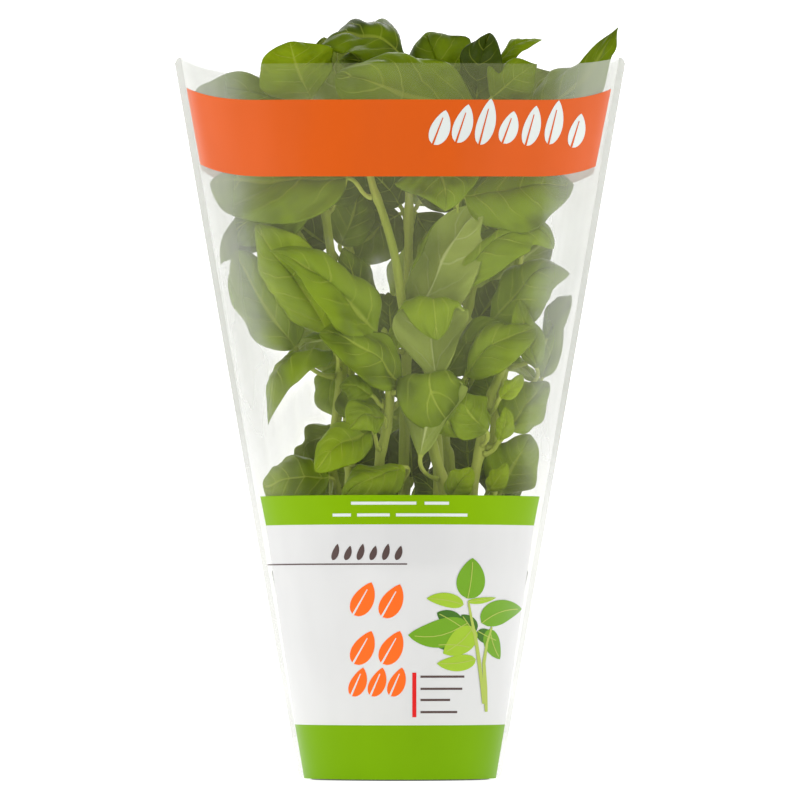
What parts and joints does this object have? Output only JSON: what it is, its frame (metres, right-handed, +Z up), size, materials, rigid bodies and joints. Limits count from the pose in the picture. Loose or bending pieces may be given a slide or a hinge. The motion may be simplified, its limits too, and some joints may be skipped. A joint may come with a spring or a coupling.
{
  "type": "potted basil plant",
  "caption": "Bushy basil plant in a round tapered plastic pot, standing in an open-topped clear film sleeve that widens upwards and carries plain colour bands.",
  "frame": {"origin": "middle of the box's base, which is the middle of the pot's foot, on the surface it stands on", "axes": "+Z up, front of the sleeve towards -Y, +X to the right seen from the front"},
  "size_m": [0.226, 0.1326, 0.3791],
  "materials": {
    "film": "clear, slightly milky plastic film, smooth, with opaque printed bands",
    "pot_plastic": "thin moulded plant-pot plastic, satin",
    "soil": "moist peat potting soil, crumbly and matt",
    "stem": "soft green herb stem, satin, squarish with fine ribs",
    "leaf": "basil leaf, puffed between its veins, satin above and paler and matt below"
  },
  "bodies": {
    "root": {"sleeve": "film", "pot": "pot_plastic", "soil": "soil", "stem_01": "stem", "stem_02": "stem", "stem_03": "stem", "stem_04": "stem", "stem_05": "stem", "stem_06": "stem", "stem_07": "stem", "stem_08": "stem", "stem_09": "stem", "stem_10": "stem", "stem_11": "stem", "leaf_01": "leaf", "leaf_02": "leaf", "leaf_03": "leaf", "leaf_04": "leaf", "leaf_05": "leaf", "leaf_06": "leaf", "leaf_07": "leaf", "leaf_08": "leaf", "leaf_09": "leaf", "leaf_10": "leaf", "leaf_11": "leaf", "leaf_12": "leaf", "leaf_13": "leaf", "leaf_14": "leaf", "leaf_15": "leaf", "leaf_16": "leaf", "leaf_17": "leaf", "leaf_18": "leaf", "leaf_19": "leaf", "leaf_20": "leaf", "leaf_21": "leaf", "leaf_22": "leaf", "leaf_23": "leaf", "leaf_24": "leaf", "leaf_25": "leaf", "leaf_26": "leaf", "leaf_27": "leaf", "leaf_28": "leaf", "leaf_29": "leaf", "leaf_30": "leaf", "leaf_31": "leaf", "leaf_32": "leaf", "leaf_33": "leaf", "leaf_34": "leaf", "leaf_35": "leaf", "leaf_36": "leaf", "leaf_37": "leaf", "leaf_38": "leaf", "leaf_39": "leaf", "leaf_40": "leaf", "leaf_41": "leaf", "leaf_42": "leaf", "leaf_43": "leaf", "leaf_44": "leaf", "leaf_45": "leaf", "leaf_46": "leaf"}
  },
  "joints": []
}
